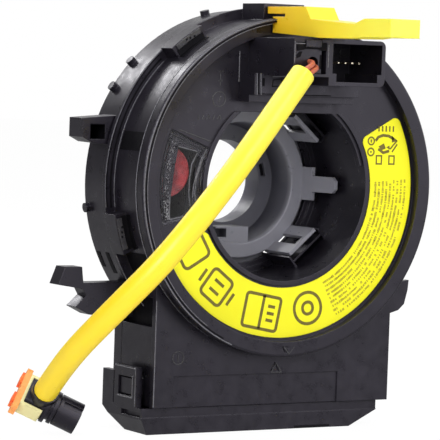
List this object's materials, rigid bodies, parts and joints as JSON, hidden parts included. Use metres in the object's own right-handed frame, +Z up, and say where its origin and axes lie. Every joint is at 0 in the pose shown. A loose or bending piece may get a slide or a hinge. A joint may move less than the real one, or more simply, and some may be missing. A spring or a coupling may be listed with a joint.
{
  "type": "steering clock spring",
  "caption": "Steering clock spring: a rotor that turns with the wheel in a fixed case on the column, joined by a flat cable, with a yellow airbag lead and transit lock.",
  "frame": {"origin": "on the turning axis, level with the rotor's front face", "axes": "+X to the right as the driver sees it, +Y along the column away from the driver, +Z up"},
  "size_m": [0.1421, 0.1118, 0.1346],
  "materials": {
    "black_plastic": "fine moulded texture",
    "grey_plastic": "smooth moulded",
    "label_yellow": "printed film",
    "clear_lens": "clear moulded",
    "lock_yellow": "smooth moulded",
    "sleeve_yellow": "smooth soft tube",
    "wire_red": "smooth insulation",
    "roller_red": "smooth moulded",
    "roller_white": "smooth moulded",
    "ribbon": "satin film",
    "pin_brass": "bright",
    "clip_pale": "smooth moulded",
    "lock_orange": "smooth moulded"
  },
  "bodies": {
    "stator": {"front_case": "black_plastic", "rear_case": "black_plastic", "bottom_shroud": "black_plastic", "vehicle_connector": "black_plastic", "cable_outer_winding": "ribbon", "vehicle_pin_1": "pin_brass", "vehicle_pin_2": "pin_brass", "vehicle_pin_3": "pin_brass", "vehicle_pin_4": "pin_brass", "vehicle_pin_5": "pin_brass", "vehicle_pin_6": "pin_brass", "vehicle_pin_7": "pin_brass", "vehicle_pin_8": "pin_brass", "vehicle_pin_9": "pin_brass"},
    "rotor": {"rotor": "black_plastic", "connector_tower": "black_plastic", "window_lens": "clear_lens", "label": "label_yellow", "lead_plug": "black_plastic", "cancel_sleeve": "grey_plastic", "cable_inner_winding": "ribbon", "socket_pin_1": "pin_brass", "socket_pin_2": "pin_brass", "socket_pin_3": "pin_brass", "socket_pin_4": "pin_brass", "socket_pin_5": "pin_brass", "socket_pin_6": "pin_brass", "lead_sleeve": "sleeve_yellow", "lead_wire_1": "wire_red", "lead_wire_2": "wire_red", "squib_body": "black_plastic", "squib_contact_1": "pin_brass", "squib_contact_2": "pin_brass", "squib_clip": "clip_pale", "squib_lock_plate": "lock_orange"},
    "lock": {"transit_lock": "lock_yellow"},
    "carrier": {"roller_carrier": "black_plastic", "cable_turn": "ribbon"},
    "roller_1": {"roller_1": "roller_red"},
    "roller_2": {"roller_2": "roller_white"},
    "roller_3": {"roller_3": "roller_white"},
    "roller_4": {"roller_4": "roller_white"},
    "roller_5": {"roller_5": "roller_white"},
    "roller_6": {"roller_6": "roller_white"}
  },
  "joints": [
    {"name": "rotor_turn", "type": "hinge", "parent": "stator", "child": "rotor", "pos_m": [0, 0.01, 0], "axis": [0, 1, 0], "range_deg": [-900, 900]},
    {"name": "lock_pull", "type": "slide", "parent": "rotor", "child": "lock", "axis": [0, -1, 0], "range_m": [0, 0.012]},
    {"name": "carrier_turn", "type": "hinge", "parent": "stator", "child": "carrier", "pos_m": [0, 0.0226, 0], "axis": [0, 1, 0], "range_deg": [-370, 370]},
    {"name": "roller_1_spin", "type": "hinge", "parent": "carrier", "child": "roller_1", "pos_m": [-0.04217, 0.0124, 0.00443], "axis": [0, 1, 0], "range_deg": [-2450, 2450]},
    {"name": "roller_2_spin", "type": "hinge", "parent": "carrier", "child": "roller_2", "pos_m": [-0.02492, 0.0124, -0.0343], "axis": [0, 1, 0], "range_deg": [-2450, 2450]},
    {"name": "roller_3_spin", "type": "hinge", "parent": "carrier", "child": "roller_3", "pos_m": [0.01725, 0.0124, -0.03873], "axis": [0, 1, 0], "range_deg": [-2450, 2450]},
    {"name": "roller_4_spin", "type": "hinge", "parent": "carrier", "child": "roller_4", "pos_m": [0.04217, 0.0124, -0.00443], "axis": [0, 1, 0], "range_deg": [-2450, 2450]},
    {"name": "roller_5_spin", "type": "hinge", "parent": "carrier", "child": "roller_5", "pos_m": [0.02492, 0.0124, 0.0343], "axis": [0, 1, 0], "range_deg": [-2450, 2450]},
    {"name": "roller_6_spin", "type": "hinge", "parent": "carrier", "child": "roller_6", "pos_m": [-0.01725, 0.0124, 0.03873], "axis": [0, 1, 0], "range_deg": [-2450, 2450]}
  ],
  "couplings": [
    {"joint": "carrier_turn", "follows": "rotor_turn", "ratio": 0.408},
    {"joint": "roller_1_spin", "follows": "rotor_turn", "ratio": -2.7146},
    {"joint": "roller_2_spin", "follows": "rotor_turn", "ratio": -2.7146},
    {"joint": "roller_3_spin", "follows": "rotor_turn", "ratio": -2.7146},
    {"joint": "roller_4_spin", "follows": "rotor_turn", "ratio": -2.7146},
    {"joint": "roller_5_spin", "follows": "rotor_turn", "ratio": -2.7146},
    {"joint": "roller_6_spin", "follows": "rotor_turn", "ratio": -2.7146}
  ]
}
